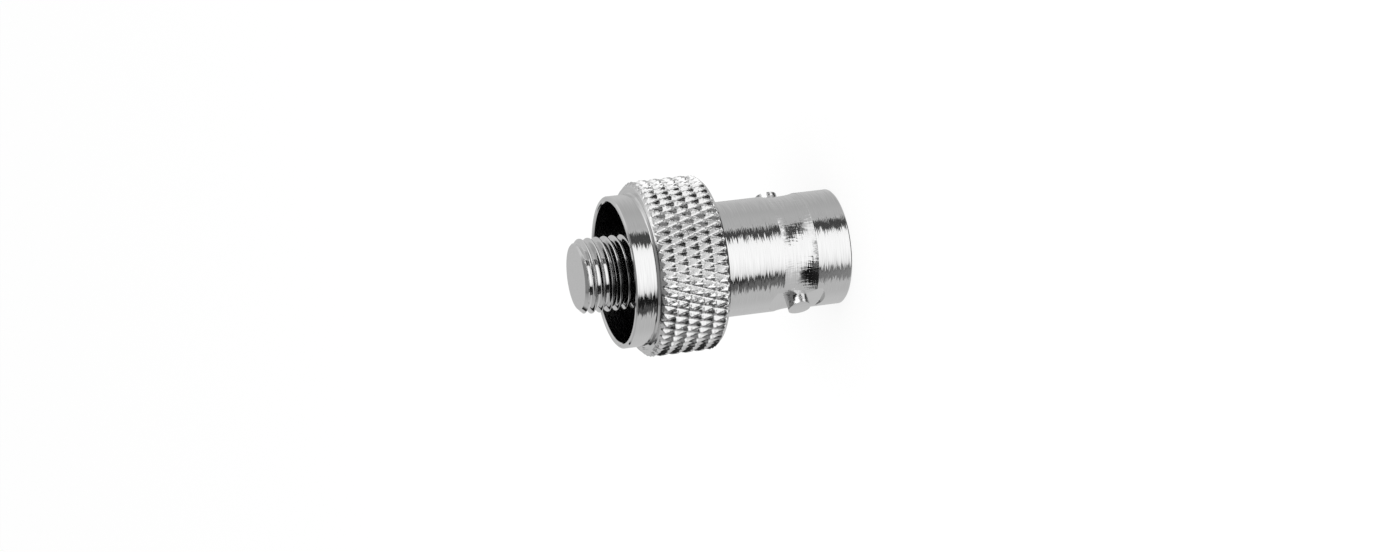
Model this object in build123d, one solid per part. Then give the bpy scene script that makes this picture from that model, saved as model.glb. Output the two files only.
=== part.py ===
from build123d import *
import os
from math import cos, pi, sin

os.makedirs("parts", exist_ok=True)

# Millimetres. The adapter stands on the jack's mouth at height 0 and its axis is +Z, up to the stud's end.

# Lengths along the axis
barrel_reach = 11.4             # jack's mouth to the collar's back face
collar_length = 5.9             # knurled part of the collar
ring_height = 1.95              # cup ring in front of the collar
stud_proud = 3.25               # stud past the ring's mouth
cup_depth = 4.95                # ring's mouth down to the cup's floor
web_thickness = 0.7             # collar's floor, which traps the insulators
insulator_stand = 1.2           # stud insulator above the cup's floor
post_recess = 4.2               # jack's mouth to the white post's face
white_flange_length = 2.6       # white insulator's flange, in the shell's rear bore
grey_flange_length = 2.0        # stud insulator's flange, between the white one and the web
contact_proud = 0.1             # contact past the white post's face

# Jack shell
barrel_diameter = 9.65
barrel_edge_break = 0.1
mouth_rim_width = 0.425         # flat rim between the edge break and the countersink
mouth_wall = 0.75               # wall round the mouth bore
rear_wall = 0.475               # wall round the rear bore
relief_start = 2.95             # shallow hollow band left by milling between the lugs
relief_length = 2.95
relief_depth = 0.15             # in its middle
relief_skim = 0.02              # at both its edges

# Bayonet lugs, on the X axis
lug_height = 4.45               # centre of each lug above the mouth
lug_diameter = 1.88
lug_span = 11.0                 # across both lugs' tips
lug_spot_diameter = 4.8         # hollow-milled flat round each lug
lug_spot_depth = 0.205          # that flat's depth below the barrel

# Knurled collar and cup ring
knurl_diameter = 14.66          # over the points
knurl_depth = 0.34
knurl_starts = 58               # grooves of each hand
knurl_lead_step = 1.09          # height from one row of points to the next
knurl_face_step = 0.07          # flat end faces end this far inside the groove bottoms
front_face_width = 0.595        # flat shoulder between the knurl's chamfer and the ring
ring_wall = 0.475
ring_edge_break = 0.1
ring_foot = 0.12                # small slope between the ring and the flat shoulder
web_lip = 0.25                  # web inside the shell's rear bore, over the insulator's flange
collar_mouth_chamfer = 0.12     # round the barrel, at the collar's back face

# White insulator and contact
post_diameter = 4.7
post_edge_break = 0.08
contact_diameter = 1.75
contact_room = 0.125            # round the contact, for its tines
contact_bore_diameter = 1.0
contact_bore_depth = 4.6
contact_mouth_chamfer = 0.1
slot_width = 0.14
slot_length = 3.6
slot_turn = 45                  # slots lie between the X and Y axes
contact_flange_diameter = 2.6
contact_flange_length = 2.0
tail_diameter = 1.2
tail_reach = 2.6                # tail past the white flange, into the stud

# Stud and its insulator
thread_diameter = 6.25
thread_pitch = 0.7056           # 36 threads to the inch, as rings here
thread_depth = 0.4
thread_crest = 0.1              # width of the flat crest
stud_chamfer = 0.425
shank_diameter = 4.4
shank_length = 3.2              # shank inside the insulator
insulator_moat = 0.5            # open gap between the insulator's neck and the web
insulator_chamfer = 0.3

# Fits
fit_gap = 0.02                  # pressed and seated pieces, on the radius or along the axis
tail_gap = 0.05                 # round the contact's tail
tail_end_gap = 0.3              # past the tail's end, in the stud's blind hole

# Stations worked out from the lengths
collar_front = barrel_reach + collar_length
ring_mouth = collar_front + ring_height
stud_end = ring_mouth + stud_proud
cup_floor = ring_mouth - cup_depth
shell_end = cup_floor - web_thickness
insulator_top = cup_floor + insulator_stand
flange_back = shell_end - grey_flange_length
flange_front = flange_back - white_flange_length
contact_front = post_recess - contact_proud
contact_flange_front = flange_back - contact_flange_length
tail_end = flange_back + tail_reach
shank_start = insulator_top - shank_length

# Radii worked out from the walls
barrel_radius = barrel_diameter / 2
mouth_bore_radius = barrel_radius - mouth_wall
rear_bore_radius = barrel_radius - rear_wall
web_hole_radius = rear_bore_radius - web_lip
insulator_radius = web_hole_radius - insulator_moat
point_radius = knurl_diameter / 2
groove_radius = point_radius - knurl_depth
collar_face_radius = groove_radius - knurl_face_step
ring_radius = collar_face_radius - front_face_width
cup_radius = ring_radius - ring_wall


def turned(*outline):
    """A solid turned about the axis from its (radius, height) corners."""
    corners = [(radius, 0, height) for radius, height in outline]
    return revolve(make_face(Polyline(*corners, close=True)), Axis.Z)


def jack_shell():
    """Barrel with a countersunk mouth, a relief band and two bayonet lugs."""
    radius = barrel_radius
    bore = mouth_bore_radius
    rear = rear_bore_radius
    rim = radius - barrel_edge_break - mouth_rim_width
    end = shell_end - fit_gap
    barrel = turned(
        (rim, 0), (radius - barrel_edge_break, 0), (radius, barrel_edge_break),
        (radius, end), (rear, end), (rear, flange_front), (bore, flange_front), (bore, rim - bore),
    )
    # The cutter's round edge leaves the band hollow along the axis.
    relief_end = relief_start + relief_length
    outside = radius + barrel_edge_break
    hollow = ThreePointArc(
        (radius - relief_skim, 0, relief_start),
        (radius - relief_depth, 0, relief_start + relief_length / 2),
        (radius - relief_skim, 0, relief_end),
    )
    rest = Polyline(hollow @ 1, (outside, 0, relief_end), (outside, 0, relief_start), hollow @ 0)
    barrel -= revolve(make_face([hollow, rest]), Axis.Z)
    lug_room = lug_span / 2
    for turn in (0, 180):
        outwards = Rot(0, 0, turn) * Pos(0, 0, lug_height) * Rot(0, 90, 0)
        above_flat = outwards * Pos(0, 0, radius - lug_spot_depth)
        along = (Align.CENTER, Align.CENTER, Align.MIN)
        barrel -= above_flat * Cylinder(lug_spot_diameter / 2, lug_room, align=along)
        foot = (rear + radius) / 2
        pin = outwards * Pos(0, 0, foot) * Cylinder(lug_diameter / 2, lug_room, align=along)
        barrel += pin & Pos(0, 0, lug_height) * Cylinder(lug_span / 2, 2 * lug_diameter)
    return barrel


def knurl_block():
    """A block as long as the knurl, crossed by V grooves of both hands, with chamfered ends."""
    slope = point_radius - collar_face_radius
    middle = (barrel_reach + collar_front) / 2
    start = middle - (int(collar_length / knurl_lead_step / 2) + 1.5) * knurl_lead_step
    first, last = barrel_reach + slope, collar_front - slope
    rows = [start + row * knurl_lead_step for row in range(int(collar_length / knurl_lead_step) + 4)]
    inside = [height for height in rows if first + knurl_depth / 2 < height < last - knurl_depth / 2]
    heights = [barrel_reach, first, *inside, last, collar_front]

    def corner(column, height):
        """A point or a groove's bottom on a whole row, or the slope between them on a height between rows."""
        if height in (barrel_reach, collar_front):
            radius = collar_face_radius
        else:
            row, share = divmod((height - start) / knurl_lead_step, 1)
            if (column + row) % 2:
                share = 1 - share
            radius = point_radius - knurl_depth * share
        angle = pi * column / knurl_starts
        return Vector(radius * cos(angle), radius * sin(angle), height)

    columns = range(2 * knurl_starts)
    faces = []
    for height in (barrel_reach, collar_front):
        faces.append(Face(Wire.make_polygon([corner(column, height) for column in columns])))
    for bottom, top in zip(heights, heights[1:]):
        row = int(((bottom + top) / 2 - start) / knurl_lead_step)
        for column in columns:
            low, next_low = corner(column, bottom), corner(column + 1, bottom)
            high, next_high = corner(column, top), corner(column + 1, top)
            if (column + row) % 2:
                halves = ((low, next_low, next_high), (low, next_high, high))
            else:
                halves = ((low, next_low, high), (next_low, next_high, high))
            faces += [Face(Wire.make_polygon(half)) for half in halves]
    return Solid(Shell(faces))


def knurled_collar():
    """Diamond-knurled grip with the cup ring in front and the web that traps the insulators."""
    fit = barrel_radius + fit_gap
    bores = turned(
        (0, barrel_reach), (fit + collar_mouth_chamfer, barrel_reach), (fit, barrel_reach + collar_mouth_chamfer),
        (fit, shell_end), (web_hole_radius, shell_end), (web_hole_radius, cup_floor),
        (cup_radius, cup_floor), (cup_radius, collar_front), (0, collar_front),
    )
    return knurl_block() - bores + turned(
        (cup_radius, collar_front), (ring_radius + ring_foot, collar_front),
        (ring_radius, collar_front + ring_foot), (ring_radius, ring_mouth - ring_edge_break),
        (ring_radius - ring_edge_break, ring_mouth), (cup_radius + ring_edge_break, ring_mouth),
        (cup_radius, ring_mouth - ring_edge_break),
    )


def jack_dielectric():
    """White insulator: a slim post round the contact and a flange trapped behind the shell's step."""
    post = post_diameter / 2
    well = contact_diameter / 2 + contact_room
    flange = rear_bore_radius - fit_gap
    seat = contact_flange_diameter / 2 + fit_gap
    step = contact_flange_front - fit_gap
    return turned(
        (well, post_recess), (post - post_edge_break, post_recess), (post, post_recess + post_edge_break),
        (post, flange_front + fit_gap), (flange, flange_front + fit_gap), (flange, flange_back),
        (seat, flange_back), (seat, step), (well, step),
    )


def socket_contact():
    """Slotted socket in front, a flange that locates it and a tail that runs into the stud."""
    outer = contact_diameter / 2
    bore = contact_bore_diameter / 2
    flange = contact_flange_diameter / 2
    tail = tail_diameter / 2
    bottom = contact_front + contact_bore_depth
    contact = turned(
        (bore + contact_mouth_chamfer, contact_front), (outer, contact_front), (outer, contact_flange_front),
        (flange, contact_flange_front), (flange, flange_back), (tail, flange_back), (tail, tail_end),
        (0, tail_end), (0, bottom), (bore, bottom), (bore, contact_front + contact_mouth_chamfer),
    )
    middle = contact_front + slot_length / 2
    for turn in (slot_turn, slot_turn + 90):
        contact -= Pos(0, 0, middle) * Rot(0, 0, turn) * Box(contact_diameter * 2, slot_width, slot_length)
    return contact


def stud_insulator():
    """Grey bush: a flange trapped under the collar's web and a neck that stands up round the stud."""
    flange = rear_bore_radius - fit_gap
    neck = insulator_radius
    shank = shank_diameter / 2 + fit_gap
    tail = tail_diameter / 2 + tail_gap
    shoulder = shell_end - fit_gap
    return turned(
        (tail, flange_back), (flange, flange_back), (flange, shoulder), (neck, shoulder),
        (neck, insulator_top - insulator_chamfer), (neck - insulator_chamfer, insulator_top),
        (shank, insulator_top), (shank, shank_start - fit_gap), (tail, shank_start - fit_gap),
    )


def threaded_stud():
    """Solid stud: a ring for each turn of its thread, a chamfered end, and a bored shank for the contact's tail."""
    thread = thread_diameter / 2
    end = thread - stud_chamfer
    shank = shank_diameter / 2
    tail = tail_diameter / 2 + tail_gap
    hole_end = tail_end + tail_end_gap
    seat = insulator_top + fit_gap
    top = stud_end - stud_chamfer
    turns = int((top - seat) / thread_pitch)
    rings = []
    for turn in range(turns):
        root = top - (turns - turn - 0.5) * thread_pitch
        half = (thread_pitch - thread_crest) / 2
        rings += [(thread, root - half), (thread - thread_depth, root), (thread, root + half)]
    return turned(
        (tail, shank_start), (shank, shank_start), (shank, seat), (thread, seat), *rings,
        (thread, top), (end, stud_end), (0, stud_end), (0, hole_end), (tail, hole_end),
    )


pieces = {
    "jack_shell": jack_shell(),
    "knurled_collar": knurled_collar(),
    "jack_dielectric": jack_dielectric(),
    "socket_contact": socket_contact(),
    "stud_insulator": stud_insulator(),
    "threaded_stud": threaded_stud(),
}
for name, piece in pieces.items():
    export_step(piece, f"parts/{name}.step")
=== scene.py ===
import math

import bpy
from bpy.props import FloatProperty, FloatVectorProperty, IntProperty, PointerProperty
from mathutils import Matrix, Vector


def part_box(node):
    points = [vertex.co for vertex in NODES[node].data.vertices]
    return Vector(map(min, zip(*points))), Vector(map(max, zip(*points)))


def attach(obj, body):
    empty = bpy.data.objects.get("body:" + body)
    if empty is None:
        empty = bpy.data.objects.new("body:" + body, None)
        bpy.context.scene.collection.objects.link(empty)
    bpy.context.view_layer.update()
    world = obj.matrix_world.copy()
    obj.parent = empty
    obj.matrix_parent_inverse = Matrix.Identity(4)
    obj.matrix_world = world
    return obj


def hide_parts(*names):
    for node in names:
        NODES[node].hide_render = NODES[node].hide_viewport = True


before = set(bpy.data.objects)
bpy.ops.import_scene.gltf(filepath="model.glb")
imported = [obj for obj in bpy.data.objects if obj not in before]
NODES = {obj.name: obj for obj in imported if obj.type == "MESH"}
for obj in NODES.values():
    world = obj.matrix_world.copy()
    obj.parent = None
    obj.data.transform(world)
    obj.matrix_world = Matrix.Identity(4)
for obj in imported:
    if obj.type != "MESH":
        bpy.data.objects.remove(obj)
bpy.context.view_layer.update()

bl_info = {
    "name": "Coax adapter",
    "version": (1, 0, 0),
    "blender": (4, 5, 0),
    "location": "View3D > Sidebar > Coax adapter",
    "description": "Dresses a bayonet jack to threaded stud adapter and lights it on a pale floor",
    "category": "Add Mesh",
}

AXIS = Vector((0, 0, 1))
MM = 0.001
SLACK = 0.01 * MM                   # in tests of where a face lies
WELD = 0.001 * MM                   # corners closer than this become one
CUT_SLACK = 0.0001 * MM             # corners closer than this to a cut lie on it
SMOOTH_ANGLE = math.radians(32)     # edges that turn further than this stay crisp


def span(name):
    """Bottom, top and outer radius of a CAD node that is turned about the Z axis."""
    low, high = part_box(name)
    return low.z, high.z, high.y


SEAT_GAP = 0.02 * MM                # between the stud's shoulder and its insulator
STUD_BOTTOM, STUD_TOP, STUD_RADIUS = span("threaded_stud")
THREAD_START = span("stud_insulator")[1] + SEAT_GAP
COLLAR_BOTTOM, COLLAR_TOP, COLLAR_RADIUS = span("knurled_collar")


# Sizes and colours that a user would change


class AdapterFinish(bpy.types.PropertyGroup):
    """Colours and surface finish of the adapter's pieces."""
    nickel_colour: FloatVectorProperty(
        name="Nickel", description="Colour of the bright nickel plate",
        subtype="COLOR", default=(0.77, 0.77, 0.77), min=0, max=1)
    nickel_roughness: FloatProperty(
        name="Nickel roughness", description="Roughness of the turned and plated surfaces",
        subtype="FACTOR", default=0.08, min=0, max=1)
    line_width: FloatProperty(
        name="Turning line", description="Width of one turning line on the metal",
        subtype="DISTANCE", unit="LENGTH", default=0.065 * MM)
    line_tilt: FloatProperty(
        name="Line tilt", description="How far the turning lines tilt the surface sideways",
        subtype="FACTOR", default=0.42, min=0, max=1)
    line_arc: FloatProperty(
        name="Line arc", description="How often a turning line changes on its way round",
        default=3.0, min=0)
    ring_polish: FloatProperty(
        name="Ring polish", description="Roughness and tilt of the ring, as a share of the jack's",
        subtype="FACTOR", default=0.8, min=0, max=1)
    # Painted shade: the cup's inside gets the nickel's colour darkened by this share, in place of
    # the shade that falls in the cup.
    cup_painted_shade: FloatProperty(
        name="Cup painted shade", description="Colour of the cup's inside, as a share of the nickel's",
        subtype="FACTOR", default=0.2, min=0, max=1)
    band_bottom: FloatProperty(
        name="Band bottom", description="Lower edge of the milled band between the jack's lugs",
        subtype="DISTANCE", unit="LENGTH", default=2.95 * MM)
    band_top: FloatProperty(
        name="Band top", description="Upper edge of the milled band",
        subtype="DISTANCE", unit="LENGTH", default=5.9 * MM)
    contact_colour: FloatVectorProperty(
        name="Contact", description="Colour of the contact's plate",
        subtype="COLOR", default=(0.82, 0.82, 0.80), min=0, max=1)
    white_colour: FloatVectorProperty(
        name="White insulator", description="Colour of the jack's insulator",
        subtype="COLOR", default=(0.80, 0.80, 0.79), min=0, max=1)
    grey_colour: FloatVectorProperty(
        name="Grey insulator", description="Colour of the bush round the stud",
        subtype="COLOR", default=(0.05, 0.05, 0.05), min=0, max=1)


class KnurledCollar(bpy.types.PropertyGroup):
    """The collar's turned outline and its rolled knurl."""
    starts: IntProperty(
        name="Grooves", description="Number of knurl grooves of each hand", default=58, min=12)
    row_step: FloatProperty(
        name="Row step", description="Height from one row of points to the next",
        subtype="DISTANCE", unit="LENGTH", default=1.09 * MM)
    depth: FloatProperty(
        name="Knurl depth", description="From the points down to the bottoms of the grooves",
        subtype="DISTANCE", unit="LENGTH", default=0.31 * MM)
    ridge_round: FloatProperty(
        name="Ridge rounding", description="Rounding of the ridges, as a share of their spacing",
        subtype="FACTOR", default=0.2, min=0, max=1)
    groove_round: FloatProperty(
        name="Groove rounding", description="Rounding of the grooves, as a share of their spacing",
        subtype="FACTOR", default=0.12, min=0, max=1)
    point_flat: FloatProperty(
        name="Flat points", description="How much of each point's height is pressed flat",
        subtype="FACTOR", default=0.25, min=0, max=0.9)
    unevenness: FloatProperty(
        name="Unevenness", description="How far the rolled surface strays from its place",
        subtype="DISTANCE", unit="LENGTH", default=0.05 * MM)
    patch_size: FloatProperty(
        name="Patch size", description="Size of one uneven patch",
        subtype="DISTANCE", unit="LENGTH", default=0.5 * MM)
    face_radius: FloatProperty(
        name="Face radius", description="Outer radius of the collar's flat end faces",
        subtype="DISTANCE", unit="LENGTH", default=6.92 * MM)
    ring_radius: FloatProperty(
        name="Ring radius", description="Outside of the cup ring",
        subtype="DISTANCE", unit="LENGTH", default=6.325 * MM)
    cup_radius: FloatProperty(
        name="Cup radius", description="Inside of the cup ring",
        subtype="DISTANCE", unit="LENGTH", default=5.85 * MM)
    web_radius: FloatProperty(
        name="Web radius", description="Hole in the cup's floor",
        subtype="DISTANCE", unit="LENGTH", default=4.1 * MM)
    bore_radius: FloatProperty(
        name="Bore radius", description="Bore that holds the jack's barrel",
        subtype="DISTANCE", unit="LENGTH", default=4.845 * MM)
    length: FloatProperty(
        name="Knurl length", description="Knurled part of the collar",
        subtype="DISTANCE", unit="LENGTH", default=5.9 * MM)
    floor_height: FloatProperty(
        name="Cup floor", description="The cup's floor above the collar's back face",
        subtype="DISTANCE", unit="LENGTH", default=2.9 * MM)
    web_thickness: FloatProperty(
        name="Web", description="Thickness of the cup's floor",
        subtype="DISTANCE", unit="LENGTH", default=0.7 * MM)
    edge_break: FloatProperty(
        name="Edge break", description="Chamfer on the ring's mouth",
        subtype="DISTANCE", unit="LENGTH", default=0.1 * MM)
    foot: FloatProperty(
        name="Foot", description="Slope at the ring's foot and chamfer round the barrel",
        subtype="DISTANCE", unit="LENGTH", default=0.12 * MM)


class StudThread(bpy.types.PropertyGroup):
    """The fine thread on the stud."""
    pitch: FloatProperty(
        name="Pitch", description="Height of one turn of the thread",
        subtype="DISTANCE", unit="LENGTH", default=0.7056 * MM)
    depth: FloatProperty(
        name="Depth", description="Depth of the thread on the radius",
        subtype="DISTANCE", unit="LENGTH", default=0.4 * MM)
    start: FloatProperty(
        name="Start", description="How far the thread is set back from the stud's end, in turns",
        subtype="FACTOR", default=0.33, min=0, max=1)
    steps: IntProperty(
        name="Steps", description="Straight steps in one turn of the thread", default=96, min=24)
    end_chamfer: FloatProperty(
        name="End chamfer", description="Chamfer at the stud's free end",
        subtype="DISTANCE", unit="LENGTH", default=0.425 * MM)
    shank_radius: FloatProperty(
        name="Shank radius", description="Plain shank inside the insulator",
        subtype="DISTANCE", unit="LENGTH", default=2.2 * MM)
    bore_radius: FloatProperty(
        name="Bore radius", description="Blind hole that takes the contact's tail",
        subtype="DISTANCE", unit="LENGTH", default=0.65 * MM)
    bore_depth: FloatProperty(
        name="Bore depth", description="Depth of that blind hole",
        subtype="DISTANCE", unit="LENGTH", default=2.2 * MM)


class StudioSettings(bpy.types.PropertyGroup):
    """Floor, light and camera."""
    floor_size: FloatProperty(
        name="Floor size", description="Side of the square floor",
        subtype="DISTANCE", unit="LENGTH", default=30.0)
    floor_colour: FloatVectorProperty(
        name="Floor", description="Colour of the pale floor",
        subtype="COLOR", default=(0.97, 0.97, 0.97), min=0, max=1)
    shadow_share: FloatProperty(
        name="Shadow", description="How much of the object's shadow shows on the floor",
        subtype="FACTOR", default=0.2, min=0, max=1)
    room_level: FloatProperty(
        name="Room light", description="Even light from all round on matt surfaces",
        default=0.97, min=0)
    lamp_power: FloatProperty(
        name="Lamp", description="Power of the soft lamp above", unit="POWER", default=0.35, min=0)
    lamp_size: FloatProperty(
        name="Lamp size", description="Diameter of the soft lamp",
        subtype="DISTANCE", unit="LENGTH", default=0.25)
    lamp_height: FloatProperty(
        name="Lamp height", description="Height of the soft lamp",
        subtype="DISTANCE", unit="LENGTH", default=0.2975)
    lamp_forward: FloatProperty(
        name="Lamp forward", description="How far the lamp stands towards the camera",
        subtype="DISTANCE", unit="LENGTH", default=0.1925)
    camera_azimuth: FloatProperty(
        name="Azimuth", description="Where the camera stands, from +X towards +Y",
        subtype="ANGLE", unit="ROTATION", default=math.radians(61.0))
    camera_elevation: FloatProperty(
        name="Elevation", description="Height of the camera above the horizon",
        subtype="ANGLE", unit="ROTATION", default=math.radians(17.38))
    camera_roll: FloatProperty(
        name="Roll", description="Turn of the camera about its line of sight",
        subtype="ANGLE", unit="ROTATION", default=math.radians(-97.0))
    camera_distance: FloatProperty(
        name="Distance", description="From the camera to the point that it aims at",
        subtype="DISTANCE", unit="LENGTH", default=292.69 * MM)
    aim_height: FloatProperty(
        name="Aim height", description="Height of the adapter's middle, which the camera aims near",
        subtype="DISTANCE", unit="LENGTH", default=11 * MM)
    aim_right: FloatProperty(
        name="Aim right", description="How far the camera aims right of the adapter's middle",
        subtype="DISTANCE", unit="LENGTH", default=-0.678 * MM)
    aim_up: FloatProperty(
        name="Aim up", description="How far the camera aims above the adapter's middle",
        subtype="DISTANCE", unit="LENGTH", default=-1.23 * MM)
    lens: FloatProperty(
        name="Lens", description="Focal length in millimetres, on a sensor 36 mm wide",
        default=90.46, min=1)


# Shader nodes


MASK_LOW, MASK_HIGH = 0.3, 0.7      # a noise mask lies mostly between these


def add_node(tree, kind, inputs=None, **settings):
    """Adds a node, changes its settings, and gives its inputs a value or a link each."""
    made = tree.nodes.new(kind)
    for name, value in settings.items():
        setattr(made, name, value)
    for key, value in (inputs or {}).items():
        if isinstance(value, bpy.types.NodeSocket):
            tree.links.new(value, made.inputs[key])
        else:
            made.inputs[key].default_value = value
    return made


def calculate(tree, operation, *values):
    """Adds a Math node and returns its output."""
    return add_node(tree, "ShaderNodeMath", dict(enumerate(values)), operation=operation).outputs[0]


def vector_math(tree, operation, *values, output="Vector", **named):
    """Adds a Vector Math node and returns one of its outputs."""
    inputs = {**dict(enumerate(values)), **named}
    return add_node(tree, "ShaderNodeVectorMath", inputs, operation=operation).outputs[output]


def soft_step(tree, value, edge, softness):
    """Rises from 0 to 1 as the value passes the edge, which may be a number or a socket."""
    return add_node(tree, "ShaderNodeMapRange", {
        "Value": calculate(tree, "SUBTRACT", value, edge),
        "From Min": -softness, "From Max": softness}, interpolation_type="SMOOTHSTEP").outputs[0]


def below(tree, value, edge, softness):
    """1 below an edge and 0 above it."""
    return calculate(tree, "SUBTRACT", 1.0, soft_step(tree, value, edge, softness))


def between(tree, value, low, high, softness):
    """1 between two edges and 0 outside them."""
    return calculate(tree, "MULTIPLY", soft_step(tree, value, low, softness),
                     below(tree, value, high, softness))


def line(tree, value, slope, start):
    """An edge that moves in a straight line as the value grows from 0."""
    return calculate(tree, "MULTIPLY_ADD", value, slope, start)


def blend(tree, share, first, second):
    """Mixes two levels, each a number or a socket."""
    return add_node(tree, "ShaderNodeMix", {"Factor": share, 2: first, 3: second}).outputs[0]


def new_group(name, inputs, outputs):
    """A shader node group with its own sockets. Each entry is (name, socket type, default)."""
    group = bpy.data.node_groups.new(name, "ShaderNodeTree")
    for label, kind, default in inputs:
        socket = group.interface.new_socket(name=label, in_out="INPUT", socket_type=kind)
        socket.default_value = default
    for label, kind in outputs:
        group.interface.new_socket(name=label, in_out="OUTPUT", socket_type=kind)
    return group, group.nodes.new("NodeGroupInput"), group.nodes.new("NodeGroupOutput")


def turning_lines_group():
    """Fine lines round the axis, as a lathe leaves them: a tilted normal and a mask of lines."""
    group, given, result = new_group(
        "Turning lines",
        [("Line Width", "NodeSocketFloat", 0.065 * MM), ("Line Tilt", "NodeSocketFloat", 0.4),
         ("Line Arc", "NodeSocketFloat", 3.0)],
        [("Normal", "NodeSocketVector"), ("Lines", "NodeSocketFloat")])
    place = add_node(group, "ShaderNodeTexCoord").outputs["Object"]
    across = vector_math(group, "MULTIPLY", place, (1, 1, 0))
    radius = vector_math(group, "LENGTH", across, output="Value")
    outward = vector_math(group, "NORMALIZE", across)
    height = add_node(group, "ShaderNodeSeparateXYZ", {0: place}).outputs["Z"]
    track = calculate(group, "DIVIDE", calculate(group, "ADD", height, radius),
                      given.outputs["Line Width"])
    around = vector_math(group, "SCALE", outward, Scale=given.outputs["Line Arc"])
    along = add_node(group, "ShaderNodeCombineXYZ", {"Z": track}).outputs[0]
    lines = add_node(group, "ShaderNodeTexNoise", {
        "Vector": vector_math(group, "ADD", around, along),
        "Scale": 1.0, "Detail": 1.0, "Roughness": 0.5}).outputs["Fac"]
    lean = calculate(group, "MULTIPLY", calculate(group, "SUBTRACT", lines, 0.5),
                     given.outputs["Line Tilt"])
    sideways = vector_math(group, "CROSS_PRODUCT", AXIS, outward)
    leaned = vector_math(group, "ADD", add_node(group, "ShaderNodeNewGeometry").outputs["Normal"],
                         vector_math(group, "SCALE", sideways, Scale=lean))
    group.links.new(vector_math(group, "NORMALIZE", leaned), result.inputs["Normal"])
    group.links.new(lines, result.inputs["Lines"])


def surface_grain_group():
    """A finely uneven skin: a mask of its spots, and a normal that they bump."""
    group, given, result = new_group(
        "Surface grain",
        [("Scale", "NodeSocketFloat", 3000.0), ("Detail", "NodeSocketFloat", 3.0),
         ("Strength", "NodeSocketFloat", 0.4), ("Height", "NodeSocketFloat", 0.03 * MM)],
        [("Normal", "NodeSocketVector"), ("Grain", "NodeSocketFloat")])
    grain = add_node(group, "ShaderNodeTexNoise", {
        "Vector": add_node(group, "ShaderNodeTexCoord").outputs["Object"],
        "Scale": given.outputs["Scale"], "Detail": given.outputs["Detail"]}).outputs["Fac"]
    bump = add_node(group, "ShaderNodeBump", {
        "Height": grain, "Strength": given.outputs["Strength"],
        "Distance": given.outputs["Height"]})
    group.links.new(bump.outputs["Normal"], result.inputs["Normal"])
    group.links.new(grain, result.inputs["Grain"])


def new_material(name):
    """A material with an empty node tree but for its surface shader and output."""
    material = bpy.data.materials.new(name)
    material.use_nodes = True
    tree = material.node_tree
    tree.nodes.clear()
    shader = tree.nodes.new("ShaderNodeBsdfPrincipled")
    end = tree.nodes.new("ShaderNodeOutputMaterial")
    tree.links.new(shader.outputs[0], end.inputs["Surface"])
    return material, tree, shader


def toned(tree, mask, colour, change):
    """A colour that a mask makes a little darker or lighter."""
    ramp = add_node(tree, "ShaderNodeValToRGB", {"Fac": mask})
    ends = ((MASK_LOW, 1 - change), (MASK_HIGH, 1 + change))
    for stop, (place, share) in zip(ramp.color_ramp.elements, ends):
        stop.position = place
        stop.color = [min(1, part * share) for part in colour] + [1]
    return ramp.outputs["Color"]


def patterned(name, group, settings, mask, colour, change, roughness, metallic):
    """A material whose colour, roughness and normal follow the pattern of a shared group."""
    material, tree, shader = new_material(name)
    pattern = add_node(tree, "ShaderNodeGroup", settings, node_tree=bpy.data.node_groups[group])
    least, most = roughness
    spread = add_node(tree, "ShaderNodeMapRange", {
        "Value": pattern.outputs[mask], "From Min": MASK_LOW, "From Max": MASK_HIGH,
        "To Min": least, "To Max": most})
    shader.inputs["Metallic"].default_value = metallic
    tree.links.new(toned(tree, pattern.outputs[mask], colour, change), shader.inputs["Base Color"])
    tree.links.new(spread.outputs[0], shader.inputs["Roughness"])
    tree.links.new(pattern.outputs["Normal"], shader.inputs["Normal"])
    return material


def turned_metal(name, finish, colour, roughness, tilt):
    """Bright plate over turned brass."""
    settings = {"Line Width": finish.line_width, "Line Tilt": tilt, "Line Arc": finish.line_arc}
    return patterned(name, "Turning lines", settings, "Lines", colour, change=0.04,
                     roughness=(roughness * 0.8, roughness * 1.3), metallic=1.0)


def knurled_metal(name, finish):
    """The same plate over rolled points: a little rougher, with small dents and burrs."""
    settings = {"Scale": 4500.0, "Detail": 3.0, "Strength": 0.3, "Height": 0.06 * MM}
    return patterned(name, "Surface grain", settings, "Grain", finish.nickel_colour, change=0.05,
                     roughness=(0.12, 0.24), metallic=1.0)


def satin_plastic(name, colour, roughness, scale, height):
    """Plastic with a fine grain in its colour, gloss and surface."""
    settings = {"Scale": scale, "Detail": 4.0, "Strength": 0.4, "Height": height}
    return patterned(name, "Surface grain", settings, "Grain", colour, change=0.06,
                     roughness=(roughness - 0.06, roughness + 0.08), metallic=0.0)


def mill_marks(material, low, high):
    """Adds a mill's marks to a turned metal between two heights: short lines along the axis."""
    tree = material.node_tree
    shader = next(one for one in tree.nodes if one.type == "BSDF_PRINCIPLED")
    place = add_node(tree, "ShaderNodeTexCoord").outputs["Object"]
    height = add_node(tree, "ShaderNodeSeparateXYZ", {0: place}).outputs["Z"]
    inside = between(tree, height, low, high, softness=0.02 * MM)
    # The noise is drawn out along the axis.
    stretched = vector_math(tree, "MULTIPLY", place, (1, 1, 0.22))
    marks = add_node(tree, "ShaderNodeTexNoise", {
        "Vector": stretched, "Scale": 4200.0, "Detail": 2.0})
    bump = add_node(tree, "ShaderNodeBump", {
        "Height": marks.outputs["Fac"], "Strength": calculate(tree, "MULTIPLY", inside, 0.55),
        "Distance": 0.05 * MM, "Normal": shader.inputs["Normal"].links[0].from_socket})
    tree.links.new(bump.outputs[0], shader.inputs["Normal"])


def wear(node_name, material):
    """Gives a CAD node its material and leaves its mesh alone."""
    piece = NODES[node_name]
    for slot in piece.material_slots:
        slot.material = material
    if not piece.material_slots:
        piece.data.materials.append(material)


# Modelling helpers


def deselect_all():
    """Leaves no object selected."""
    for one in bpy.context.selected_objects:
        one.select_set(False)


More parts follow.
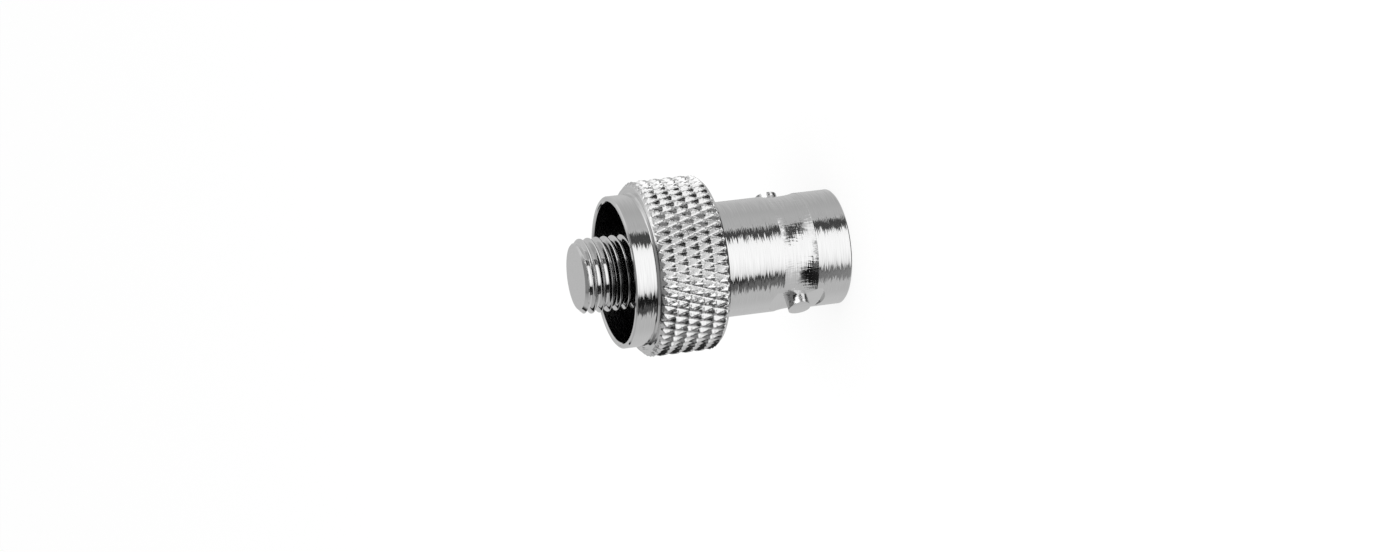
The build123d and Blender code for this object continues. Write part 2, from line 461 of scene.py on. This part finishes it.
def settle(piece):
    """Puts an object's place into its mesh, so that the object sits at the origin."""
    deselect_all()
    piece.select_set(True)
    bpy.context.view_layer.objects.active = piece
    bpy.ops.object.transform_apply(location=True, rotation=True, scale=True)


def pick_faces(piece, wanted):
    """In edit mode, selects the faces for which wanted(face) holds."""
    bpy.ops.mesh.select_all(action="DESELECT")
    bpy.ops.object.mode_set(mode="OBJECT")
    for face in piece.data.polygons:
        face.select = wanted(face)
    bpy.ops.object.mode_set(mode="EDIT")


def cut_level(height, **sides):
    """In edit mode, cuts the mesh at a height. The sides may be cleared and the cut filled."""
    bpy.ops.mesh.select_all(action="SELECT")
    bpy.ops.mesh.bisect(plane_co=(0, 0, height), plane_no=AXIS, threshold=CUT_SLACK, **sides)


def close_mesh():
    """In edit mode, merges the doubled corners and turns every face outwards."""
    bpy.ops.mesh.select_all(action="SELECT")
    bpy.ops.mesh.remove_doubles(threshold=WELD)
    bpy.ops.mesh.normals_make_consistent(inside=False)


def axis_distance(point):
    """Distance of a point from the Z axis."""
    return math.hypot(point.x, point.y)


# Operators, one for each piece or group of like pieces


class COAX_OT_turned_shell(bpy.types.Operator):
    """Give the jack shell its turned and plated finish"""
    bl_idname = "coax.turned_shell"
    bl_label = "Jack shell"

    def execute(self, context):
        finish = context.scene.adapter_finish
        metal = turned_metal("Turned nickel", finish, finish.nickel_colour,
                             finish.nickel_roughness, finish.line_tilt)
        mill_marks(metal, finish.band_bottom, finish.band_top)
        wear("jack_shell", metal)
        return {"FINISHED"}


WEDGE_COLUMNS = 12      # steps of the knurl's mesh across one groove
WEDGE_ROWS = 84         # steps along the knurl


def knurl_radius(knurl, turn, height):
    """Outer radius at a height above the back face and a turn in half groove spacings."""
    row = (height - knurl.length / 2) / knurl.row_step - 0.5
    gaps = []
    for place in ((turn + row) / 2, (turn - row) / 2):
        gaps.append(0.5 - abs(place - round(place)))
    # The lower of the two groove walls, with a rounded ridge between them and a rounded groove.
    near, far = min(gaps), max(gaps)
    ridge, groove = knurl.ridge_round / 2, knurl.groove_round
    blend_share = max(ridge - (far - near), 0) / ridge
    near -= blend_share ** 2 * ridge / 4
    rise = (math.hypot(near, groove) - groove) / (math.hypot(0.5, groove) - groove)
    point_radius = COLLAR_RADIUS - knurl.depth * (1 - min(rise / (1 - knurl.point_flat), 1))
    slope = min(height, knurl.length - height)
    return min(point_radius, knurl.face_radius + slope)


def plain_outline(knurl):
    """The collar's outline past the knurl, over the ring and back through the bore."""
    back = COLLAR_BOTTOM
    front = back + knurl.length
    floor = back + knurl.floor_height
    shoulder = floor - knurl.web_thickness
    cup, ring, web, bore = knurl.cup_radius, knurl.ring_radius, knurl.web_radius, knurl.bore_radius
    edge, foot = knurl.edge_break, knurl.foot
    return [
        (ring + foot, front), (ring, front + foot), (ring, COLLAR_TOP - edge),
        (ring - edge, COLLAR_TOP), (cup + edge, COLLAR_TOP), (cup, COLLAR_TOP - edge),
        (cup, floor), (web, floor), (web, shoulder), (bore, shoulder),
        (bore, back + foot), (bore + foot, back), (knurl.face_radius, back)]


def collar_wedge(knurl):
    """The part of the collar that repeats round the axis: one groove's width of its outline."""
    outline = plain_outline(knurl)
    rows = WEDGE_ROWS + len(outline)
    bpy.ops.mesh.primitive_grid_add(x_subdivisions=WEDGE_COLUMNS, y_subdivisions=rows, size=2)
    wedge = bpy.context.object
    for corner in wedge.data.vertices:
        column = round((corner.co.x + 1) / 2 * WEDGE_COLUMNS)
        row = round((corner.co.y + 1) / 2 * rows)
        turn = 2 * column / WEDGE_COLUMNS
        if row <= WEDGE_ROWS:
            height = knurl.length * row / WEDGE_ROWS
            radius, height = knurl_radius(knurl, turn, height), COLLAR_BOTTOM + height
        else:
            radius, height = outline[row - WEDGE_ROWS - 1]
        angle = math.pi * turn / knurl.starts
        corner.co = (radius * math.cos(angle), radius * math.sin(angle), height)
    return wedge


def press_uneven(collar, knurl, knurl_start):
    """Leaves the knurl a little uneven, as rolling does, and mostly pressed in."""
    rough = collar.vertex_groups.new(name="knurl")
    rough.add([corner.index for corner in collar.data.vertices
               if axis_distance(corner.co) > knurl_start], 1.0, "REPLACE")
    clouds = bpy.data.textures.new("Uneven knurl", "CLOUDS")
    clouds.noise_scale, clouds.noise_depth = knurl.patch_size, 2
    uneven = collar.modifiers.new("Unevenness", "DISPLACE")
    uneven.texture, uneven.vertex_group, uneven.texture_coords = clouds, rough.name, "LOCAL"
    uneven.mid_level, uneven.strength = 0.85, knurl.unevenness
    bpy.ops.object.modifier_apply(modifier=uneven.name)
    collar.vertex_groups.clear()
    bpy.data.textures.remove(clouds)


def dress_collar(collar, knurl, finish, knurl_start):
    """Gives the turned faces, the knurl and the cup's inside a metal each. The cup's inside is the
    nickel darkened, as painted shade for the shade that falls in the cup.
    """
    # Painted shade: a darkened copy of the nickel for the cup's inside, where shade falls.
    shade = [finish.cup_painted_shade * part for part in finish.nickel_colour]
    metals = (
        turned_metal("Turned collar", finish, finish.nickel_colour,
                     roughness=finish.nickel_roughness * finish.ring_polish,
                     tilt=finish.line_tilt * finish.ring_polish),
        knurled_metal("Knurled nickel", finish),
        # The cup's inside: painted shade in its colour, also rougher and with fainter turning
        # lines.
        turned_metal("Painted cup shade", finish, shade,
                     roughness=finish.nickel_roughness * 3, tilt=finish.line_tilt * 0.2))
    for metal in metals:
        collar.data.materials.append(metal)
    cup_floor = COLLAR_BOTTOM + knurl.floor_height
    for face in collar.data.polygons:
        out = axis_distance(face.center)
        in_cup = out < knurl.cup_radius + SLACK and face.center.z > cup_floor - SLACK
        face.material_index = 2 if in_cup else int(out > knurl_start)


class COAX_OT_knurled_collar(bpy.types.Operator):
    """Model the collar with its rolled knurl and the cup ring"""
    bl_idname = "coax.knurled_collar"
    bl_label = "Knurled collar"

    def execute(self, context):
        knurl = context.scene.knurled_collar
        deselect_all()
        collar = collar_wedge(knurl)
        collar.name = collar.data.name = "diamond_collar"
        bpy.ops.object.mode_set(mode="EDIT")
        bpy.ops.mesh.select_all(action="SELECT")
        bpy.ops.mesh.spin(
            dupli=True, steps=knurl.starts, angle=math.tau, center=(0, 0, 0), axis=AXIS)
        close_mesh()
        bpy.ops.object.mode_set(mode="OBJECT")
        knurl_start = knurl.face_radius + 2 * SLACK
        press_uneven(collar, knurl, knurl_start)
        dress_collar(collar, knurl, context.scene.adapter_finish, knurl_start)
        bpy.ops.object.shade_smooth_by_angle(angle=SMOOTH_ANGLE)
        if len(collar.data.polygons) < knurl.starts * WEDGE_COLUMNS * WEDGE_ROWS:
            raise RuntimeError("the knurl was not modelled")
        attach(collar, "root")
        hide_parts("knurled_collar")
        return {"FINISHED"}


class COAX_OT_socket_contact(bpy.types.Operator):
    """Give the slotted contact its plate"""
    bl_idname = "coax.socket_contact"
    bl_label = "Socket contact"

    def execute(self, context):
        finish = context.scene.adapter_finish
        wear("socket_contact", turned_metal(
            "Contact plate", finish, finish.contact_colour, roughness=0.16, tilt=0.2))
        return {"FINISHED"}


class COAX_OT_insulators(bpy.types.Operator):
    """Give the white and the grey insulator their plastics"""
    bl_idname = "coax.insulators"
    bl_label = "Insulators"

    def execute(self, context):
        finish = context.scene.adapter_finish
        wear("jack_dielectric", satin_plastic(
            "White fluoropolymer", finish.white_colour,
            roughness=0.42, scale=2600.0, height=0.03 * MM))
        wear("stud_insulator", satin_plastic(
            "Grey moulding", finish.grey_colour,
            roughness=0.45, scale=3200.0, height=0.02 * MM))
        return {"FINISHED"}


# One thread from the middle of a root to the next: steps out and up, as shares of depth and pitch
TOOTH = (
    (0, 0.10), (0.12, 0.06), (0.38, 0.105), (0.38, 0.105), (0.07, 0.03), (0.035, 0.03),
    (0.015, 0.05), (-0.015, 0.05),
    (-0.035, 0.03), (-0.07, 0.03), (-0.38, 0.105), (-0.38, 0.105), (-0.12, 0.06), (0, 0.14))
CHAMFER_RINGS = 4       # rings of edges in the stud's end chamfer


def tooth_outline(thread):
    """One tooth of the thread, below the stud's bottom, as a chain of edges."""
    root = STUD_RADIUS - thread.depth
    start = STUD_BOTTOM - (1 + thread.start) * thread.pitch
    bpy.ops.mesh.primitive_plane_add(size=thread.pitch, location=(root, 0, start))
    tooth = bpy.context.object
    settle(tooth)
    bpy.ops.object.mode_set(mode="EDIT")
    bpy.ops.mesh.select_all(action="SELECT")
    bpy.ops.mesh.merge(type="CENTER")
    for out, up in TOOTH:
        bpy.ops.mesh.extrude_region_move(
            TRANSFORM_OT_translate={"value": (out * thread.depth, 0, up * thread.pitch)})
    bpy.ops.object.mode_set(mode="OBJECT")
    return tooth


def thread_rod(thread):
    """A rod with the full thread, cut square at the insulator and at the stud's end."""
    rod = tooth_outline(thread)
    screw = rod.modifiers.new("Thread", "SCREW")
    screw.axis = "Z"
    screw.angle = math.tau
    screw.screw_offset = thread.pitch
    screw.iterations = math.ceil((STUD_TOP - STUD_BOTTOM) / thread.pitch) + 2
    screw.steps = screw.render_steps = thread.steps
    screw.use_merge_vertices = True
    bpy.ops.object.modifier_apply(modifier=screw.name)
    bpy.ops.object.mode_set(mode="EDIT")
    bpy.ops.mesh.select_all(action="SELECT")
    bpy.ops.mesh.remove_doubles(threshold=WELD)
    cut_level(THREAD_START, use_fill=True, clear_inner=True)
    cut_level(STUD_TOP, use_fill=True, clear_outer=True)
    for ring in range(1, CHAMFER_RINGS + 1):
        cut_level(STUD_TOP - ring / CHAMFER_RINGS * thread.end_chamfer)
    bpy.ops.object.mode_set(mode="OBJECT")
    return rod


def set_radius(corner, radius):
    """Moves a corner square to the Z axis until it stands at a radius."""
    share = radius / axis_distance(corner.co)
    corner.co.x *= share
    corner.co.y *= share


def add_shank(stud, thread):
    """Draws the plain shank down from the thread's start, and bores it for the contact's tail."""
    bpy.ops.object.mode_set(mode="EDIT")
    pick_faces(stud, lambda face: (
        abs(face.normal.z) > 0.99 and abs(face.center.z - THREAD_START) < WELD))
    bpy.ops.mesh.extrude_region_move()
    bpy.ops.object.mode_set(mode="OBJECT")
    for corner in stud.data.vertices:
        if corner.select:
            set_radius(corner, thread.shank_radius)
    bpy.ops.object.mode_set(mode="EDIT")
    bpy.ops.mesh.extrude_region_move(
        TRANSFORM_OT_translate={"value": (0, 0, STUD_BOTTOM - THREAD_START)})
    bpy.ops.mesh.extrude_region_move()
    shrink = thread.bore_radius / thread.shank_radius
    bpy.ops.transform.resize(value=(shrink, shrink, 1), center_override=(0, 0, STUD_BOTTOM))
    bpy.ops.mesh.extrude_region_move(TRANSFORM_OT_translate={"value": (0, 0, thread.bore_depth)})
    bpy.ops.object.mode_set(mode="OBJECT")


def chamfer_end(stud, thread):
    """Turns the stud's free end down to a cone."""
    end_radius = STUD_RADIUS - thread.end_chamfer
    for corner in stud.data.vertices:
        limit = end_radius + STUD_TOP - corner.co.z
        if axis_distance(corner.co) > limit:
            set_radius(corner, limit)


class COAX_OT_threaded_stud(bpy.types.Operator):
    """Model the stud with its fine thread"""
    bl_idname = "coax.threaded_stud"
    bl_label = "Threaded stud"

    def execute(self, context):
        thread = context.scene.stud_thread
        finish = context.scene.adapter_finish
        deselect_all()
        stud = thread_rod(thread)
        stud.name = stud.data.name = "thread_stud"
        add_shank(stud, thread)
        chamfer_end(stud, thread)
        bpy.ops.object.mode_set(mode="EDIT")
        close_mesh()
        bpy.ops.object.mode_set(mode="OBJECT")
        bpy.ops.object.shade_smooth_by_angle(angle=SMOOTH_ANGLE)
        stud.data.materials.append(turned_metal(
            "Threaded nickel", finish, finish.nickel_colour, finish.nickel_roughness, tilt=0.06))
        if len(stud.data.polygons) < thread.steps * len(TOOTH):
            raise RuntimeError("the stud's thread was not cut")
        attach(stud, "root")
        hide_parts("threaded_stud")
        return {"FINISHED"}


# Brightness of the studio's wall round the object, by degrees from the camera's side
WALL = (
    (-180, 0.56), (-150, 0.60), (-122, 0.62), (-100, 0.56), (-75, 0.57), (-60, 0.60), (-46, 0.70),
    (-39, 0.78), (-33, 1.0), (-25, 1.12), (-10, 1.2), (20, 1.2), (30, 1.12), (50, 0.95), (57, 0.6),
    (63, 0.50), (75, 0.52), (95, 0.48), (120, 0.53), (150, 0.60), (180, 0.56))
# Brightness of the cards before the wall. Their edges and soft margins are in degrees too.
LEFT_CARD = 0.01
RIGHT_CARD = 0.07
FAINT_CARD = 0.14, 0.04         # low down and higher up
LEFT_SIDE = 0.5
RIGHT_SIDE = 1.45, 0.7          # near the white panel and far from it
BROW = 0.02, 0.24               # at its ends and in its middle
SKY = 0.26
LOW_PANEL = 1.25
GROUND = 0.06
# Elevation of what the adapter's upright walls reflect to the camera
EYE_LEVEL = -17.4


def sight_angles(tree, camera_azimuth):
    """Degrees of a direction round from the camera's side, and above the horizon."""
    sight = add_node(tree, "ShaderNodeTexCoord").outputs["Generated"]
    x, y, z = add_node(tree, "ShaderNodeSeparateXYZ", {0: sight}).outputs
    turn = calculate(tree, "SUBTRACT", calculate(tree, "ARCTAN2", y, x), camera_azimuth)
    turn = calculate(tree, "DEGREES", calculate(tree, "WRAP", turn, math.pi, -math.pi))
    return turn, calculate(tree, "DEGREES", calculate(tree, "ARCSINE", z))


def round_wall(tree, turn):
    """The studio's pale wall, with a white panel on the camera's side."""
    wall = add_node(tree, "ShaderNodeValToRGB", {"Fac": line(tree, turn, 1 / 360, 0.5)})
    stops = wall.color_ramp.elements
    for index, (degrees, level) in enumerate(WALL):
        place = degrees / 360 + 0.5
        stop = stops[index] if index < 2 else stops.new(place)
        stop.position, stop.color = place, (level, level, level, 1)
    return wall.outputs["Color"]


def card(tree, level, brightness, *masks):
    """Lays a card before the studio's wall where all its masks meet."""
    share = masks[0]
    for mask in masks[1:]:
        share = calculate(tree, "MULTIPLY", share, mask)
    return blend(tree, share, level, brightness)


def side_cards(tree, level, turn, over):
    """Dark cards beside the panel: the left one widens upwards and the right one downwards."""
    outer = line(tree, over, -3.0, -57.0)
    inner = calculate(tree, "ADD", line(tree, over, 0.2, -41.5),
                      calculate(tree, "MULTIPLY", calculate(tree, "MAXIMUM", over, 0.0), 1.4))
    upper = soft_step(tree, over, -3.5, 3.0)
    # A fainter card stands outside the left one.
    faint = blend(tree, soft_step(tree, over, 0.5, 2.0), *FAINT_CARD)
    level = card(tree, level, faint,
                 between(tree, turn, line(tree, over, -0.8, -71.0), outer, 1.5), upper)
    level = card(tree, level, LEFT_CARD, between(tree, turn, outer, inner, 1.2), upper)
    inner = line(tree, calculate(tree, "MINIMUM", over, 0.0), 0.9, 34.5)
    return card(tree, level, RIGHT_CARD,
                between(tree, turn, inner, 56.0, 1.5), between(tree, over, -19.0, 6.5, 4.0))


def upper_cards(tree, level, turn, rise):
    """Above the panel: bright sides, most on the right, a dark brow between them and a grey sky."""
    near, far = RIGHT_SIDE
    right = add_node(tree, "ShaderNodeMapRange", {
        "Value": turn, "From Min": 60.0, "From Max": 115.0, "To Min": near, "To Max": far})
    level = card(tree, level, right.outputs[0],
                 soft_step(tree, rise, 1.0, 3.0), between(tree, turn, 36.0, 138.0, 2.0))
    level = card(tree, level, LEFT_SIDE,
                 soft_step(tree, rise, -8.0, 4.0), between(tree, turn, -138.0, -78.0, 6.0))
    level = card(tree, level, blend(tree, between(tree, turn, -43.0, -8.0, 5.0), *BROW),
                 soft_step(tree, rise, line(tree, turn, 0.06, -2.0), 4.0),
                 between(tree, turn, -92.0, 36.0, 2.0))
    return card(tree, level, SKY, soft_step(tree, rise, 52.0, 12.0))


def lower_cards(tree, level, turn, rise):
    """Low down the panel reaches further to the right, and it grows dark towards the ground."""
    level = card(tree, level, LOW_PANEL,
                 below(tree, rise, -33.0, 4.0), between(tree, turn, 20.0, 72.0, 6.0))
    return card(tree, level, GROUND, below(tree, rise, -56.0, 6.0))


def studio_cards(tree, camera_azimuth):
    """What bright metal reflects."""
    turn, rise = sight_angles(tree, camera_azimuth)
    level = side_cards(tree, round_wall(tree, turn), turn,
                       calculate(tree, "SUBTRACT", rise, EYE_LEVEL))
    return lower_cards(tree, upper_cards(tree, level, turn, rise), turn, rise)


def studio_world(studio):
    """Even light for matt surfaces, white behind the object, and the cards for the metal."""
    world = bpy.data.worlds.new("Studio")
    bpy.context.scene.world = world
    world.use_nodes = True
    world.cycles.sampling_method = "NONE"
    tree = world.node_tree
    tree.nodes.clear()
    rays = add_node(tree, "ShaderNodeLightPath")
    cards = studio_cards(tree, studio.camera_azimuth)
    level = blend(tree, rays.outputs["Is Diffuse Ray"], cards, studio.room_level)
    level = blend(tree, rays.outputs["Is Camera Ray"], level, 1.0)
    light = add_node(tree, "ShaderNodeBackground", {"Color": level, "Strength": 1.0})
    end = tree.nodes.new("ShaderNodeOutputWorld")
    tree.links.new(light.outputs[0], end.inputs["Surface"])


def pale_floor(studio):
    """A plain floor that is white where it is lit and keeps a light shadow."""
    bpy.ops.mesh.primitive_plane_add(size=studio.floor_size, location=(0, 0, 0))
    floor = bpy.context.object
    floor.name = floor.data.name = "floor"
    floor.visible_glossy = False    # the metal reflects the studio's cards, also from below
    material, tree, shader = new_material("Pale floor")
    shader.inputs["Base Color"].default_value = (*studio.floor_colour, 1)
    shader.inputs["Roughness"].default_value = 1.0
    shader.inputs["Specular IOR Level"].default_value = 0.0
    rays = add_node(tree, "ShaderNodeLightPath")
    white = add_node(tree, "ShaderNodeEmission", {"Color": (1, 1, 1, 1), "Strength": 1.0})
    share = calculate(tree, "MULTIPLY", rays.outputs["Is Camera Ray"], 1 - studio.shadow_share)
    mixed = add_node(tree, "ShaderNodeMixShader", {
        0: share, 1: shader.outputs[0], 2: white.outputs[0]})
    end = next(one for one in tree.nodes if one.type == "OUTPUT_MATERIAL")
    tree.links.new(mixed.outputs[0], end.inputs["Surface"])
    floor.data.materials.append(material)


def camera_axes(azimuth, elevation, roll):
    """Right, up and backward directions of a camera that looks at the object."""
    flat = math.cos(elevation)
    back = Vector((flat * math.cos(azimuth), flat * math.sin(azimuth), math.sin(elevation)))
    level = Vector((-math.sin(azimuth), math.cos(azimuth), 0))
    upright = back.cross(level)
    right = math.cos(roll) * level + math.sin(roll) * upright
    return right, back.cross(right), back


class COAX_OT_studio(bpy.types.Operator):
    """Set up the floor, the light and the camera"""
    bl_idname = "coax.studio"
    bl_label = "Studio"

    def execute(self, context):
        studio = context.scene.studio_settings
        deselect_all()
        studio_world(studio)
        pale_floor(studio)
        right, up, back = camera_axes(
            studio.camera_azimuth, studio.camera_elevation, studio.camera_roll)
        lamp_place = studio.lamp_forward * back + studio.lamp_height * AXIS
        bpy.ops.object.light_add(type="AREA", location=lamp_place)
        lamp = context.object
        lamp.rotation_euler = lamp_place.to_track_quat("Z", "Y").to_euler()
        lamp.data.shape, lamp.data.size = "DISK", studio.lamp_size
        lamp.data.energy = studio.lamp_power
        lamp.visible_glossy = False
        aim = studio.aim_height * AXIS + studio.aim_right * right + studio.aim_up * up
        bpy.ops.object.camera_add()
        camera = context.object
        camera.matrix_world = Matrix.Translation(aim + studio.camera_distance * back) @ Matrix(
            (right, up, back)).transposed().to_4x4()
        camera.data.sensor_width, camera.data.lens = 36.0, studio.lens
        camera.data.clip_start, camera.data.clip_end = 0.01, 100.0     # metres
        context.scene.camera = camera
        context.scene.view_settings.view_transform = "Standard"
        return {"FINISHED"}


class COAX_PT_adapter(bpy.types.Panel):
    """Lists the adapter's pieces and settings"""
    bl_idname = "COAX_PT_adapter"
    bl_label = "Coax adapter"
    bl_space_type = "VIEW_3D"
    bl_region_type = "UI"
    bl_category = "Coax adapter"

    def draw(self, context):
        for operator in OPERATORS:
            self.layout.operator(operator.bl_idname)
        for name in SETTINGS:
            group = getattr(context.scene, name)
            box = self.layout.box()
            for label in type(group).__annotations__:
                box.prop(group, label)


OPERATORS = (COAX_OT_turned_shell, COAX_OT_knurled_collar, COAX_OT_socket_contact,
             COAX_OT_insulators, COAX_OT_threaded_stud, COAX_OT_studio)
SETTINGS = {"adapter_finish": AdapterFinish, "knurled_collar": KnurledCollar,
            "stud_thread": StudThread, "studio_settings": StudioSettings}


def register():
    for one in (*SETTINGS.values(), *OPERATORS, COAX_PT_adapter):
        bpy.utils.register_class(one)
    for name, kind in SETTINGS.items():
        setattr(bpy.types.Scene, name, PointerProperty(type=kind))


def unregister():
    for name in SETTINGS:
        delattr(bpy.types.Scene, name)
    for one in reversed((*SETTINGS.values(), *OPERATORS, COAX_PT_adapter)):
        bpy.utils.unregister_class(one)


def main():
    """Builds the dressed adapter and its studio."""
    register()
    turning_lines_group()
    surface_grain_group()
    for operator in OPERATORS:
        group, name = operator.bl_idname.split(".")
        getattr(getattr(bpy.ops, group), name)()


if __name__ == "__main__":
    main()
